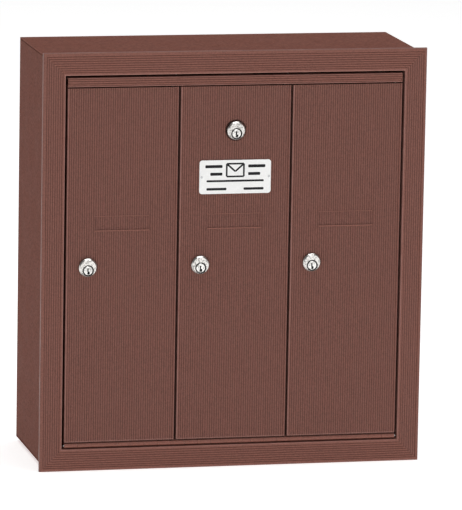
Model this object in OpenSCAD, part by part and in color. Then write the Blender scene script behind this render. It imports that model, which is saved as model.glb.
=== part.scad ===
// Surface-mounted vertical cluster mailbox: three tall tenant doors carried by one master panel,
// which tilts down on a continuous hinge so that a carrier can fill the compartments.
//
// Frame: X to the right, Y into the wall, Z up. The origin is the centre of the four wall fixing
// holes, on the outer face of the back panel. "Depth" below is measured back from the front face.

/* [Overall] */
// Width of the front frame
frame_w = 476.25; // [474:0.25:500]
// Height of the front frame
frame_h = 514.35; // [500:0.25:540]
// Depth from the front frame to the wall
depth = 184.15; // [150:0.05:220]
// Width of the frame's face
face_w = 27.5; // [26:0.5:28.5]
// How far the frame stands out past the housing, all round
lip = 5.5; // [4:0.5:6]

/* [Tenant doors] */
// Width of one tenant door
door_w = 136.4; // [134:0.1:138]
// Gap between two doors
door_gap = 3.0; // [2.8:0.1:4]
// Thickness of a door's face
door_t = 3.0; // [2.5:0.1:3.2]
// Pitch of the fine vertical reeds
reed_pitch = 2.8; // [2.4:0.1:4]
// Height of the reeds
reed_h = 0.7; // [0.3:0.05:0.9]

/* [Locks] */
// Diameter of a lock's head
head_d = 22.4; // [21:0.1:24]
// How far a tenant lock's head stands out of its door
head_proud = 4.5; // [3:0.5:6]
// Distance of a tenant lock from its door's free edge
lock_inset = 26.5; // [24:0.5:30]
// Distance of a tenant lock below the door's top edge
lock_drop = 219; // [180:1:260]
// Distance of the master lock below the door's top edge
master_drop = 54.2; // [50:0.1:70]
// Distance of the plug's axis below the lock's axis
plug_drop = 3.4; // [3:0.1:3.6]

/* [Plate and label seats] */
// Width of the plate on the middle door
plate_w = 88.9; // [60:0.1:100]
// Height of the plate
plate_h = 41.3; // [30:0.1:50]
// Distance of the plate's centre below the door's top edge
plate_drop = 111.2; // [100:0.1:120]
// Width of the recessed seat for a name label
seat_w = 68; // [50:1:80]
// Height of the seat
seat_h = 16.8; // [12:0.2:20]
// Distance of the seat's lower edge above the lock's axis
seat_rise = 45.2; // [30:0.2:60]

/* [Housing] */
// Thickness of the housing's sheet
sheet_t = 1.5; // [1.2:0.1:1.6]
// Thickness of a divider
divider_t = 1.2; // [1:0.1:1.6]
// Spacing of the wall fixing holes across (one stud bay)
fixing_x = 406.4; // [300:0.1:420]
// Spacing of the wall fixing holes up the wall
fixing_z = 380; // [300:1:440]
// Diameter of the wall fixing holes
fixing_d = 7; // [5:0.5:9]

/* [Hidden] */

$fn = 48;

bronze = [0.42, 0.29, 0.26];
inner_bronze = [0.33, 0.23, 0.20];
nickel = [0.80, 0.80, 0.78];
steel = [0.62, 0.63, 0.65];
enamel = [0.95, 0.95, 0.93];

// Small distances used throughout
over = 1;         // how far a cutting shape runs past what it cuts
root = 0.5;       // how far a wall runs into the wall it grows from
rivet_r = 1.6;    // shank radius of the blind rivets
rivet_play = 0.05;
rivet_head_r = 3;
rivet_head_t = 1.2;
rivet_tail_r = 2.4;
flat_head_t = 1;      // low heads and tails, where a moving part passes close by

// Front of everything and the opening in the frame
front_y = -depth;
open_w = frame_w - 2 * face_w;
open_h = frame_h - 2 * face_w;
open_top = open_h / 2;
open_bottom = -open_h / 2;

// Housing box
body_w = frame_w - 2 * lip;
body_h = frame_h - 2 * lip;
rail_t = 2;                          // wall of the frame extrusion
leg_depth = 35;                      // depth of the leg that the housing slides over
jamb_depth = 22;                     // depth of the leg beside the opening
leg_u = face_w - lip - sheet_t;      // outer face of the fixing leg, outward from the opening
flange_w = 14;                       // width of the housing's folded flanges
flange_start = leg_depth + 2;
outer_round = 2.5;                   // rounding of the frame's outer edge
inner_round = 1.4;                   // rounding of the frame's inner edge
lip_depth = 6;

// Master panel: everything below is stacked down from the top of the opening
top_gap = 3.0;
bar_h = 11;                          // visible height of the panel's top rail
door_line = 1.6;                     // shadow line between the top rail and the doors
barrel_r = 2.5;                      // continuous hinge
barrel_line = 1.8;
panel_d = 1.0;                       // depth of the doors' faces behind the frame's face
panel_w = 3 * door_w + 2 * door_gap;
panel_left = -panel_w / 2;
panel_right = panel_w / 2;
bar_top = open_top - top_gap;
bar_bottom = bar_top - bar_h;
door_top = bar_bottom - door_line;
hinge_z = open_bottom + barrel_line + barrel_r;
hinge_d = 2.5;                       // depth of the hinge axis
door_bottom = hinge_z + barrel_r + barrel_line;
leaf_t = 1.2;

// Depths of the layers behind a door
door_back = panel_d + door_t;
door_clear = 0.4;                    // between a closed door and what lies behind it
keeper_d = 11;                       // door stop and cam keeper flange
flange_t = 1.5;
rear_d = 16;                         // rear flange of stiles and mullions
rail_flange_d = rear_d + flange_t;
web_back_d = 23;                     // back edge of the mullion webs
divider_d = 26;                      // front edge of the dividers

// Door pivot
pivot_in = 7.5;                      // from the door's hinge edge
pivot_d = 7.1;
pin_r = 1.5;
pin_play = 0.05;
boss_r = 2.9;

// Locks
barrel_lock_r = 10;                  // threaded barrel
barrel_flat = 16.4;                  // across its two flats
plug_r = 5.6;
plug_play = 0.05;
dish_r = 6.9;                        // recess round the plug's face
dish_t = 1.5;
cam_t = 2;
cam_d = 13;                          // front of a tenant cam
cam_w = 11;
cam_reach = 22;
square_w = 6;                        // square tail of the plug
screw_r = 1.7;
screw_head_r = 4;
screw_head_t = 2.4;
clip_t = 1.4;

// Master lock
bracket_d = 5.5;
bracket_t = 2;
bracket_h = 34;
master_proud = 5.5;
master_cam_d = 23.6;
master_reach = 30;
master_clear = 1.8;                  // round the head, in the middle door
lock_z = door_top - lock_drop;
master_z = door_top - master_drop;
strike_d = 21.2;

// Heights at which parts of the master panel start and stop
bottom_wall = 1.4;                   // floor of the panel's bottom rail, under the doors
stile_bottom = hinge_z + barrel_r + bottom_wall;
stile_top = bar_bottom;

function at(d) = front_y + d;
function door_left(n) = panel_left + (n - 1) * (door_w + door_gap);
function door_mid(n) = door_left(n) + door_w / 2;
function pivot_x(n) = door_left(n) + door_w - pivot_in;
function lock_x(n) = door_left(n) + lock_inset;
function gap_x(n) = door_left(n) + door_w + door_gap / 2;

// ------------------------------------------------------------------ shared shapes

// Points of a row of rounded reeds along +X, crests at 0 and valleys at reed_h, starting at x0
reed_steps = 6;
reed_margin = 0.3;                   // between a flat land and the first valley
function reeds(x0, count) = [
    for (i = [0 : count - 1])
        for (k = [0 : reed_steps - 1])
            [x0 + reed_pitch * (i + k / reed_steps), reed_h * (1 - sin(180 * k / reed_steps))],
    [x0 + reed_pitch * count, reed_h]
];

// A box given by its low and high limits in X, depth and Z
module block(x, d, z) {
    translate([x[0], at(d[0]), z[0]])
        cube([x[1] - x[0], d[1] - d[0], z[1] - z[0]]);
}

// A cylinder along the depth, from depth d0 to d1
module rod_y(x, z, r, d0, d1) {
    translate([x, at(d0), z])
        rotate([-90, 0, 0])
            cylinder(r = r, h = d1 - d0);
}

// A cylinder along Z
module rod_z(x, d, r, z0, z1) {
    translate([x, at(d), z0])
        cylinder(r = r, h = z1 - z0);
}

// Extrudes a profile drawn in (x, depth) from z0 to z1
module upright(z0, z1) {
    translate([0, front_y, z0])
        linear_extrude(height = z1 - z0)
            children();
}

// Extrudes a profile drawn in (depth, z) from x0 to x1
module lengthwise(x0, x1) {
    translate([x0, front_y, 0])
        rotate([90, 0, 90])
            linear_extrude(height = x1 - x0)
                children();
}

// A rectangle given by its limits
module span(a, b) {
    translate([a[0], b[0]])
        square([a[1] - a[0], b[1] - b[0]]);
}

// ------------------------------------------------------------------ housing

back_rivet_steps = 4;

module back_panel() {
    color(bronze)
        difference() {
            translate([-body_w / 2, -sheet_t, -body_h / 2])
                cube([body_w, sheet_t, body_h]);
            for (x = [-fixing_x / 2, fixing_x / 2], z = [-fixing_z / 2, fixing_z / 2])
                translate([x, over, z])
                    rotate([90, 0, 0])
                        cylinder(d = fixing_d, h = sheet_t + 2 * over);
            back_rivet_places()
                translate([0, over, 0])
                    rotate([90, 0, 0])
                        cylinder(r = rivet_r + rivet_play, h = sheet_t + 2 * over);
        }
}

// Places its child at each rivet through the back panel: housing flanges and divider flanges
module back_rivet_places() {
    side_x = body_w / 2 - sheet_t - flange_w / 2;
    end_z = body_h / 2 - sheet_t - flange_w / 2;
    for (s = [-1, 1], i = [0 : back_rivet_steps - 1])
        translate([s * side_x, 0, body_h * (i + 0.5) / back_rivet_steps - body_h / 2])
            children();
    for (s = [-1, 1], i = [0 : back_rivet_steps - 2])
        translate([body_w * (i + 1) / back_rivet_steps - body_w / 2, 0, s * end_z])
            children();
    for (n = [1, 2], i = [0 : back_rivet_steps - 1])
        translate([divider_rivet_x(n), 0, body_h * (i + 0.5) / back_rivet_steps - body_h / 2])
            children();
}

function divider_rivet_x(n) = gap_x(n) + divider_t / 2 + flange_w / 2;

module back_panel_rivets() {
    color(steel)
        back_rivet_places() {
            translate([0, -2 * sheet_t, 0])
                rotate([-90, 0, 0])
                    cylinder(r = rivet_r, h = 2 * sheet_t);
            translate([0, -2 * sheet_t - rivet_head_t, 0])
                rotate([-90, 0, 0])
                    cylinder(r = rivet_head_r, h = rivet_head_t);
        }
}

// The top panel covers the side panels; its rear flange turns down and lies on the back panel
corner_cut = flange_w + 3;           // the flange stops short of the side panels' flanges
module top_panel() {
    color(bronze)
        difference() {
            union() {
                block([-body_w / 2, body_w / 2], [rail_t, depth - sheet_t],
                      [body_h / 2 - sheet_t, body_h / 2]);
                block([-body_w / 2 + corner_cut, body_w / 2 - corner_cut],
                      [depth - 2 * sheet_t, depth - sheet_t],
                      [body_h / 2 - sheet_t - flange_w, body_h / 2 - sheet_t]);
            }
            back_rivet_places()
                rotate([90, 0, 0])
                    cylinder(r = rivet_r + rivet_play, h = 2 * sheet_t + over);
        }
}

module bottom_panel() {
    color(bronze)
        mirror([0, 0, 1])
            top_panel();
}

// A side panel has flanges at the back, the top and the bottom; a rebate along its upper and
// lower edges leaves a shadow line under the top panel and over the bottom panel
seam_t = 0.8;                        // depth of the rebate into the sheet
seam_h = 1.0;
module side_panel(s) {
    x_out = body_w / 2;
    z_top = body_h / 2 - sheet_t;
    mirror([s < 0 ? 1 : 0, 0, 0])
        difference() {
            union() {
                block([x_out - sheet_t, x_out], [rail_t, depth - sheet_t], [-z_top, z_top]);
                block([x_out - sheet_t - flange_w, x_out - sheet_t],
                      [depth - 2 * sheet_t, depth - sheet_t], [-z_top, z_top]);
                for (t = [-1, 1])
                    block([x_out - sheet_t - flange_w, x_out - sheet_t],
                          [flange_start, depth - 2 * sheet_t],
                          t > 0 ? [z_top - sheet_t, z_top] : [-z_top, -z_top + sheet_t]);
            }
            for (t = [-1, 1])
                block([x_out - seam_t, x_out + over], [0, depth],
                      t > 0 ? [z_top - seam_h, z_top + over] : [-z_top - over, -z_top + seam_h]);
            back_rivet_places()
                rotate([90, 0, 0])
                    cylinder(r = rivet_r + rivet_play, h = 2 * sheet_t + over);
        }
}

module left_side_panel() {
    color(bronze)
        side_panel(-1);
}

module right_side_panel() {
    color(bronze)
        side_panel(1);
}

// A divider stands behind the gap between two doors; its corners clear the frame's fixing legs
leg_clear = 6;
flange_gap = 0.3;
module divider(n) {
    z_top = body_h / 2 - sheet_t;
    notch_z = z_top - rail_t - leg_clear;
    difference() {
        union() {
            translate([gap_x(n) - divider_t / 2, front_y, 0])
                rotate([90, 0, 90])
                    linear_extrude(height = divider_t)
                        polygon([
                            [divider_d, -notch_z], [flange_start, -notch_z],
                            [flange_start, -z_top], [depth - sheet_t, -z_top],
                            [depth - sheet_t, z_top], [flange_start, z_top],
                            [flange_start, notch_z], [divider_d, notch_z]
                        ]);
            block([gap_x(n) + divider_t / 2, gap_x(n) + divider_t / 2 + flange_w],
                  [depth - 2 * sheet_t, depth - sheet_t],
                  [-z_top + corner_cut, z_top - corner_cut]);
        }
        back_rivet_places()
            rotate([90, 0, 0])
                cylinder(r = rivet_r + rivet_play, h = 2 * sheet_t + over);
        // The flanges of the top and bottom panels pass behind the divider
        for (t = [-1, 1])
            block([gap_x(n) - over, gap_x(n) + over],
                  [depth - 2 * sheet_t - flange_gap, depth],
                  t > 0 ? [z_top - flange_w - flange_gap, z_top + over]
                        : [-z_top - over, -z_top + flange_w + flange_gap]);
    }
}

module divider_left() {
    color(steel)
        divider(1);
}

module divider_right() {
    color(steel)
        divider(2);
}

// ------------------------------------------------------------------ front frame

// Section of the frame extrusion: first axis outward from the opening, second axis depth
rail_reed_start = 3.6;
rail_reeds = floor((face_w - outer_round - rail_reed_start - 2 * reed_margin) / reed_pitch);
edge_t = 1.8;                        // wall of the lip that covers the housing's edge
module rail_section() {
    reed_end = rail_reed_start + rail_reeds * reed_pitch;
    polygon(concat(
        [[0, rail_t + inner_round], [0, inner_round]],
        [for (a = [15 : 15 : 90]) [inner_round * (1 - cos(a)), inner_round * (1 - sin(a))]],
        [[rail_reed_start - reed_margin, 0]],
        reeds(rail_reed_start, rail_reeds),
        [[reed_end + reed_margin, 0]],
        [for (a = [90 : -15 : 0])
            [face_w - outer_round * (1 - cos(a)), outer_round * (1 - sin(a))]],
        [[face_w, lip_depth], [face_w - edge_t, lip_depth], [face_w - edge_t, rail_t + edge_t / 2],
         [face_w - 1.5 * edge_t, rail_t], [rail_t, rail_t], [rail_t, rail_t + inner_round]]
    ));
    span([0, rail_t], [rail_t, jamb_depth]);
    span([leg_u - rail_t, leg_u], [rail_t - root, leg_depth]);
}

// One rail along the bottom of an opening that is len wide, mitred at both ends;
// its inner edge lies on z = 0 and it is centred on x = 0
module rail(len) {
    difference() {
        translate([-len / 2 - face_w, 0, 0])
            rotate([90, 0, 90])
                linear_extrude(height = len + 2 * face_w)
                    mirror([0, 1])
                        mirror([1, -1])
                            rail_section();
        for (s = [-1, 1])
            translate([0, -over, 0])
                rotate([-90, 0, 0])
                    linear_extrude(height = leg_depth + 2 * over)
                        polygon([
                            [s * (len / 2 - over), -over],
                            [s * (len / 2 + face_w + over), face_w + over],
                            [s * (len / 2 + 2 * face_w), face_w + over],
                            [s * (len / 2 + 2 * face_w), -over]
                        ]);
    }
}

stud_r = 1.9;
stud_play = 0.1;
stud_d = 29.5;       // depth of the weld studs
stud_long = 5;
nut_r = 3.8;         // over its corners
nut_t = 2.4;
thread_play = 0.05;
side_stud_z = 160;
end_stud_x = 140;

// Places its child at each weld stud, with its own Z pointing from the housing wall into the box
module stud_places() {
    for (i = [-1 : 1]) {
        translate([body_w / 2 - sheet_t, at(stud_d), i * side_stud_z])
            rotate([0, -90, 0])
                children();
        translate([-body_w / 2 + sheet_t, at(stud_d), i * side_stud_z])
            rotate([0, 90, 0])
                children();
        translate([i * end_stud_x, at(stud_d), body_h / 2 - sheet_t])
            rotate([0, 180, 0])
                children();
        translate([i * end_stud_x, at(stud_d), -body_h / 2 + sheet_t])
            children();
    }
}

module stud_holes() {
    stud_places()
        translate([0, 0, -over])
            cylinder(r = stud_r + stud_play, h = rail_t + 2 * over);
}

module frame_rail_bottom() {
    color(bronze)
        difference() {
            translate([0, front_y, open_bottom])
                rail(open_w);
            stud_holes();
            hinge_rivet_places()
                translate([0, 0, open_bottom - rail_t - over])
                    cylinder(r = rivet_r + rivet_play, h = rail_t + 2 * over);
        }
}

module frame_rail_top() {
    color(bronze)
        difference() {
            translate([0, front_y, open_top])
                mirror([0, 0, 1])
                    rail(open_w);
            stud_holes();
            strike_rivet_places()
                translate([0, 0, open_top - over])
                    cylinder(r = rivet_r + rivet_play, h = rail_t + 2 * over);
        }
}

module side_rail() {
    translate([open_w / 2, front_y, 0])
        rotate([0, -90, 0])
            rail(open_h);
}

module frame_rail_left() {
    color(bronze)
        difference() {
            mirror([1, 0, 0])
                side_rail();
            stud_holes();
        }
}

module frame_rail_right() {
    color(bronze)
        difference() {
            side_rail();
            stud_holes();
        }
}

// L-shaped keys that hold the mitres, in the channel behind the frame's face
key_w = 11;
key_arm = 42;
key_t = 3;
key_gap = 1.5;
module frame_corner_keys() {
    key_u = rail_t + key_gap;
    color(steel)
        for (sx = [0, 1], sz = [0, 1])
            mirror([sx, 0, 0])
                mirror([0, 0, sz]) {
                    x = open_w / 2 + key_u;
                    z = open_h / 2 + key_u;
                    d = [rail_t, rail_t + key_t];
                    block([x, x + key_w], d, [z + key_w - key_arm, z + key_w]);
                    block([x + key_w - key_arm, x], d, [z, z + key_w]);
                }
}

module frame_studs() {
    color(steel)
        stud_places()
            cylinder(r = stud_r, h = stud_long);
}

module frame_nuts() {
    color(steel)
        stud_places()
            translate([0, 0, rail_t])
                difference() {
                    cylinder(r = nut_r, h = nut_t, $fn = 6);
                    translate([0, 0, -over])
                        cylinder(r = stud_r + thread_play, h = nut_t + 2 * over);
                }
}

// ------------------------------------------------------------------ continuous hinge

knuckles = 25;
knuckle_gap = 0.3;
pin_end = 1.2;                       // how far the hinge pin shows at either end
hinge_bore_r = 1.2;
hinge_pin_r = 1.15;
hinge_rivets = 6;
hinge_rivet_d = 14;
knuckle_pitch = panel_w / knuckles;

// Places its child above each hinge rivet, on z = 0
module hinge_rivet_places() {
    for (i = [0 : hinge_rivets - 1])
        translate([panel_w * (i + 0.5) / hinge_rivets - panel_w / 2, at(hinge_rivet_d), 0])
            children();
}

leaf_start = hinge_d + barrel_r + 0.4;
leaf_end = 18;
leaf_overlap = 0.4;

// Knuckles first, first + 2, ... each with a tongue back to the leaf; side is 1 above, -1 below
module hinge_leaf_knuckles(first, side) {
    difference() {
        for (i = [first : 2 : knuckles - 1])
            lengthwise(panel_left + i * knuckle_pitch + knuckle_gap / 2,
                       panel_left + (i + 1) * knuckle_pitch - knuckle_gap / 2) {
                translate([hinge_d, hinge_z])
                    circle(r = barrel_r);
                span([hinge_d, leaf_start + leaf_overlap],
                     side > 0 ? [hinge_z + barrel_r - leaf_t, hinge_z + barrel_r]
                              : [hinge_z - barrel_r, hinge_z - barrel_r + leaf_t]);
            }
        lengthwise(panel_left - over, panel_right + over)
            translate([hinge_d, hinge_z])
                circle(r = hinge_bore_r);
    }
}

// The fixed leaf steps down onto the frame's lower jamb
module hinge_fixed_leaf() {
    low = hinge_z - barrel_r;
    bend = leaf_start + 1;
    foot = bend + 1.6;
    wall = leaf_t / 2;               // keeps the sloping part as thick as the rest
    color(bronze)
        difference() {
            union() {
                hinge_leaf_knuckles(1, -1);
                lengthwise(panel_left, panel_right)
                    polygon([
                        [leaf_start, low], [bend, low], [foot, open_bottom],
                        [leaf_end, open_bottom], [leaf_end, open_bottom + leaf_t],
                        [foot + wall, open_bottom + leaf_t], [bend + wall, low + leaf_t],
                        [leaf_start, low + leaf_t]
                    ]);
            }
            hinge_rivet_places()
                translate([0, 0, open_bottom - over])
                    cylinder(r = rivet_r + rivet_play, h = leaf_t + 2 * over);
        }
}

module hinge_fixed_rivets() {
    color(steel)
        hinge_rivet_places() {
            translate([0, 0, open_bottom - rail_t])
                cylinder(r = rivet_r, h = rail_t + leaf_t);
            translate([0, 0, open_bottom + leaf_t])
                cylinder(r = rivet_head_r, h = flat_head_t);
            translate([0, 0, open_bottom - rail_t - flat_head_t])
                cylinder(r = rivet_tail_r, h = flat_head_t);
        }
}

module hinge_moving_leaf() {
    color(bronze)
        difference() {
            union() {
                hinge_leaf_knuckles(0, 1);
                block([panel_left, panel_right], [leaf_start, leaf_end],
                      [hinge_z + barrel_r - leaf_t, hinge_z + barrel_r]);
            }
            hinge_rivet_places()
                translate([0, 0, hinge_z])
                    cylinder(r = rivet_r + rivet_play, h = barrel_r + over);
        }
}

module hinge_pin() {
    color(steel)
        lengthwise(panel_left - pin_end, panel_right + pin_end)
            translate([hinge_d, hinge_z])
                circle(r = hinge_pin_r);
}

module hinge_moving_rivets() {
    low = hinge_z + barrel_r - leaf_t;
    high = stile_bottom;
    color(steel)
        hinge_rivet_places() {
            translate([0, 0, low])
                cylinder(r = rivet_r, h = high - low);
            translate([0, 0, high])
                cylinder(r = rivet_head_r, h = flat_head_t);
        }
}

// ------------------------------------------------------------------ master strike

strike_w = 30;
strike_t = 2;
strike_low = master_z + 22;
strike_front_d = 11;
strike_head_t = 0.6;

module strike_rivet_places() {
    for (s = [-1, 1])
        translate([s * strike_w / 4, at(jamb_depth - 5), 0])
            children();
}

// Angle under the top jamb; its leg hangs down in front of the turned master cam
module master_strike() {
    color(inner_bronze)
        difference() {
            union() {
                block([-strike_w / 2, strike_w / 2], [strike_front_d, strike_d + strike_t],
                      [open_top - strike_t, open_top]);
                block([-strike_w / 2, strike_w / 2], [strike_d, strike_d + strike_t],
                      [strike_low, open_top - strike_t]);
            }
            strike_rivet_places()
                translate([0, 0, open_top - strike_t - over])
                    cylinder(r = rivet_r + rivet_play, h = strike_t + 2 * over);
        }
}

module strike_rivets() {
    color(steel)
        strike_rivet_places() {
            translate([0, 0, open_top - strike_t])
                cylinder(r = rivet_r, h = strike_t + rail_t);
            translate([0, 0, open_top - strike_t - strike_head_t])
                cylinder(r = rivet_head_r, h = strike_head_t);
            translate([0, 0, open_top + rail_t])
                cylinder(r = rivet_tail_r, h = flat_head_t);
        }
}

// ------------------------------------------------------------------ master panel frame

rivet_rise = 7;      // of the frame rivets, from the ends of the stiles

// Each upright of the master panel, with the place of its rivets
function upright_rivet_x(i) = [panel_left + 7, gap_x(1) + 8, gap_x(2) + 8, panel_right - 11.5][i];

module panel_rivet_places() {
    for (i = [0 : 3], z = [stile_bottom + rivet_rise, stile_top - rivet_rise])
        translate([upright_rivet_x(i), front_y, z])
            rotate([-90, 0, 0])
                children();
}

module panel_rivet_holes() {
    panel_rivet_places()
        translate([0, 0, rear_d - over])
            cylinder(r = rivet_r + rivet_play, h = 2 * flange_t + 2 * over);
}

module panel_rivets() {
    color(steel)
        panel_rivet_places() {
            translate([0, 0, rear_d])
                cylinder(r = rivet_r, h = 2 * flange_t);
            translate([0, 0, rear_d - rivet_head_t])
                cylinder(r = rivet_head_r, h = rivet_head_t);
            translate([0, 0, rear_d + 2 * flange_t])
                cylinder(r = rivet_tail_r, h = rivet_head_t);
        }
}

bar_land = 2;          // flat lands above and below the bar's reeds, together
bar_reeds = floor((bar_h - bar_land) / reed_pitch);
bar_wall = 2.2;
bar_back_d = 12;       // back edge of the channel's upper wall
rail_back_d = rail_flange_d + flange_t;
rail_flange_h = 14;
edge_bevel = 0.7;      // on the front edges of the top rail and of the doors

// Channel with reeds along its face; the door pins turn in its lower wall
module panel_top_rail() {
    first_reed = bar_bottom + (bar_h - bar_reeds * reed_pitch) / 2;
    last_reed = first_reed + bar_reeds * reed_pitch;
    color(bronze)
        difference() {
            lengthwise(panel_left, panel_right)
                polygon(concat(
                    [[panel_d + edge_bevel, bar_bottom], [panel_d, bar_bottom + edge_bevel]],
                    [[panel_d, first_reed - reed_margin]],
                    [for (p = reeds(first_reed, bar_reeds)) [panel_d + p[1], p[0]]],
                    [[panel_d, last_reed + reed_margin],
                     [panel_d, bar_top - edge_bevel], [panel_d + edge_bevel, bar_top],
                     [bar_back_d, bar_top], [bar_back_d, bar_top - bar_wall],
                     [panel_d + bar_wall, bar_top - bar_wall], [panel_d + bar_wall, bar_bottom + bar_wall],
                     [rail_back_d, bar_bottom + bar_wall], [rail_back_d, bar_bottom - rail_flange_h],
                     [rail_flange_d, bar_bottom - rail_flange_h], [rail_flange_d, bar_bottom]]
                ));
            for (n = [1 : 3])
                rod_z(pivot_x(n), pivot_d, pin_r + pin_play,
                      bar_bottom - over, bar_bottom + bar_wall + over);
            panel_rivet_holes();
        }
}

// Angle on the moving leaf of the hinge, behind the feet of the doors
module panel_bottom_rail() {
    color(inner_bronze)
        difference() {
            lengthwise(panel_left, panel_right) {
                span([door_back + door_clear, rail_back_d], [hinge_z + barrel_r, stile_bottom]);
                span([rail_flange_d, rail_back_d], [hinge_z + barrel_r, stile_bottom + rail_flange_h]);
            }
            for (n = [1 : 3])
                rod_z(pivot_x(n), pivot_d, pin_r + pin_play,
                      hinge_z + barrel_r - over, stile_bottom + over);
            hinge_rivet_places()
                translate([0, 0, hinge_z])
                    cylinder(r = rivet_r + rivet_play, h = 2 * barrel_r + over);
            panel_rivet_holes();
        }
}

// A stile's keeper flange stops its door and holds its locked cam; the rear flange is riveted
keeper_w = 11;
rear_w = 13;
module panel_left_stile() {
    color(bronze)
        difference() {
            upright(stile_bottom, stile_top) {
                span([panel_left, panel_left + flange_t], [door_back + door_clear, rail_flange_d]);
                span([panel_left, panel_left + keeper_w], [keeper_d, keeper_d + flange_t]);
                span([panel_left, panel_left + rear_w], [rear_d, rail_flange_d]);
            }
            panel_rivet_holes();
        }
}

web_margin = rail_flange_h + 6;

right_stile_w = 16;
module panel_right_stile() {
    inner = panel_right - right_stile_w;
    color(inner_bronze)
        difference() {
            union() {
                upright(stile_bottom, stile_top)
                    span([inner, panel_right], [rear_d, rail_flange_d]);
                upright(stile_bottom + web_margin, stile_top - web_margin)
                    span([inner, inner + flange_t], [rail_flange_d - root, web_back_d]);
            }
            panel_rivet_holes();
        }
}

// A mullion carries the hinge side of one door and the keeper of the next
mullion_w = [24, 14];                // its rear flange, left and right of the gap
web_step = 1.4;                      // of its front web, to the right of the gap's middle
module mullion(n) {
    x = gap_x(n);
    web = x + web_step;
    keeper = door_left(n + 1) + keeper_w;
    difference() {
        union() {
            upright(stile_bottom, stile_top) {
                span([web, keeper], [keeper_d, keeper_d + flange_t]);
                span([web, web + flange_t], [keeper_d, rail_flange_d]);
                span([x - mullion_w[0], x + mullion_w[1]], [rear_d, rail_flange_d]);
            }
            upright(stile_bottom + web_margin, stile_top - web_margin)
                span([x - flange_t / 2, x + flange_t / 2], [rail_flange_d - root, web_back_d]);
        }
        panel_rivet_holes();
        bracket_rivet_holes();
    }
}

module panel_mullion_left() {
    color(inner_bronze)
        mullion(1);
}

module panel_mullion_right() {
    color(inner_bronze)
        mullion(2);
}

// ------------------------------------------------------------------ master lock bracket

bracket_left = gap_x(1) + 6.4;
bracket_right = gap_x(2) - 23;
foot_w = 7.6;                        // of a foot and its leg together
foot_rivet = 2.8;                    // from the foot's free end
foot_rivet_z = 10;
foot_head_r = 2.2;

module bracket_rivet_places() {
    for (s = [-1, 1]) {
        translate([bracket_left + foot_rivet, at(keeper_d), master_z + s * foot_rivet_z])
            children();
        translate([bracket_right - bracket_t + foot_w - foot_rivet, at(rear_d), master_z + s * foot_rivet_z])
            children();
    }
}

module bracket_rivet_holes() {
    bracket_rivet_places()
        rotate([-90, 0, 0])
            translate([0, 0, -flange_t - over])
                cylinder(r = rivet_r + rivet_play, h = 2 * flange_t + 2 * over);
}

// Bridge across the middle bay behind the middle door, from mullion to mullion
module master_lock_bracket() {
    left_leg = bracket_left + foot_w - bracket_t;
    right_leg = bracket_right - bracket_t;
    color(inner_bronze)
        difference() {
            upright(master_z - bracket_h / 2, master_z + bracket_h / 2) {
                span([bracket_left, left_leg + bracket_t], [keeper_d - flange_t, keeper_d]);
                span([left_leg, left_leg + bracket_t], [bracket_d, keeper_d]);
                span([left_leg, bracket_right], [bracket_d, bracket_d + bracket_t]);
                span([right_leg, bracket_right], [bracket_d, rear_d]);
                span([right_leg, right_leg + foot_w], [rear_d - flange_t, rear_d]);
            }
            lock_hole(0, master_z, bracket_d, bracket_d + bracket_t);
            bracket_rivet_holes();
        }
}

module bracket_rivets() {
    color(steel)
        bracket_rivet_places()
            rotate([-90, 0, 0]) {
                translate([0, 0, -flange_t])
                    cylinder(r = rivet_r, h = 2 * flange_t);
                for (z = [-flange_t - flat_head_t, flange_t])
                    translate([0, 0, z])
                        cylinder(r = foot_head_r, h = flat_head_t);
            }
}

// ------------------------------------------------------------------ locks

flat_play = 0.1;

// Outline of a barrel with two flats
module barrel_outline(play) {
    intersection() {
        circle(r = barrel_lock_r + play);
        square([barrel_flat + 2 * play, 4 * barrel_lock_r], center = true);
    }
}

module along_y(x, z, d0, d1) {
    translate([x, at(d0), z])
        rotate([-90, 0, 0])
            linear_extrude(height = d1 - d0)
                children();
}

module lock_hole(x, z, d0, d1) {
    along_y(x, z, d0 - over, d1 + over)
        barrel_outline(flat_play);
}

// A lock's body: bevelled head with a dish round the plug, and a flatted barrel
head_bevel = [1.5, 1.6];             // across and along the depth
module lock_body(x, z, front_d, shoulder_d, end_d) {
    difference() {
        union() {
            rod_y(x, z, head_d / 2, front_d + head_bevel[1], shoulder_d);
            translate([x, at(front_d), z])
                rotate([-90, 0, 0])
                    cylinder(r1 = head_d / 2 - head_bevel[0], r2 = head_d / 2, h = head_bevel[1]);
            along_y(x, z, shoulder_d, end_d)
                barrel_outline(0);
        }
        rod_y(x, z - plug_drop, plug_r + plug_play, front_d - over, end_d + over);
        rod_y(x, z - plug_drop, dish_r, front_d - over, front_d + dish_t);
    }
}

// Keyway outline about the plug's axis: narrow above, stepped sideways, wider and round below
module keyway() {
    span([-1.25, 0.35], [-1.4, 3.0]);
    span([-0.95, 1.65], [-3.1, -1.0]);
    translate([0.35, -3.1])
        circle(r = 1.5);
}

// A plug turns in its body; its square tail drives the cam
keyway_t = 9;
plug_bevel = 0.6;
screw_hole_t = 6;
module lock_plug(x, z, front_d, cam_front) {
    plug_z = z - plug_drop;
    difference() {
        union() {
            rod_y(x, plug_z, plug_r, front_d + plug_bevel, cam_front);
            translate([x, at(front_d), plug_z])
                rotate([-90, 0, 0])
                    cylinder(r1 = plug_r - plug_bevel, r2 = plug_r, h = plug_bevel);
            along_y(x, plug_z, cam_front, cam_front + cam_t)
                square(square_w, center = true);
        }
        translate([x, at(front_d + keyway_t), plug_z])
            rotate([90, 0, 0])
                linear_extrude(height = keyway_t + over)
                    keyway();
        rod_y(x, plug_z, screw_r + thread_play, cam_front - screw_hole_t, cam_front + cam_t + over);
    }
}

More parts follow.
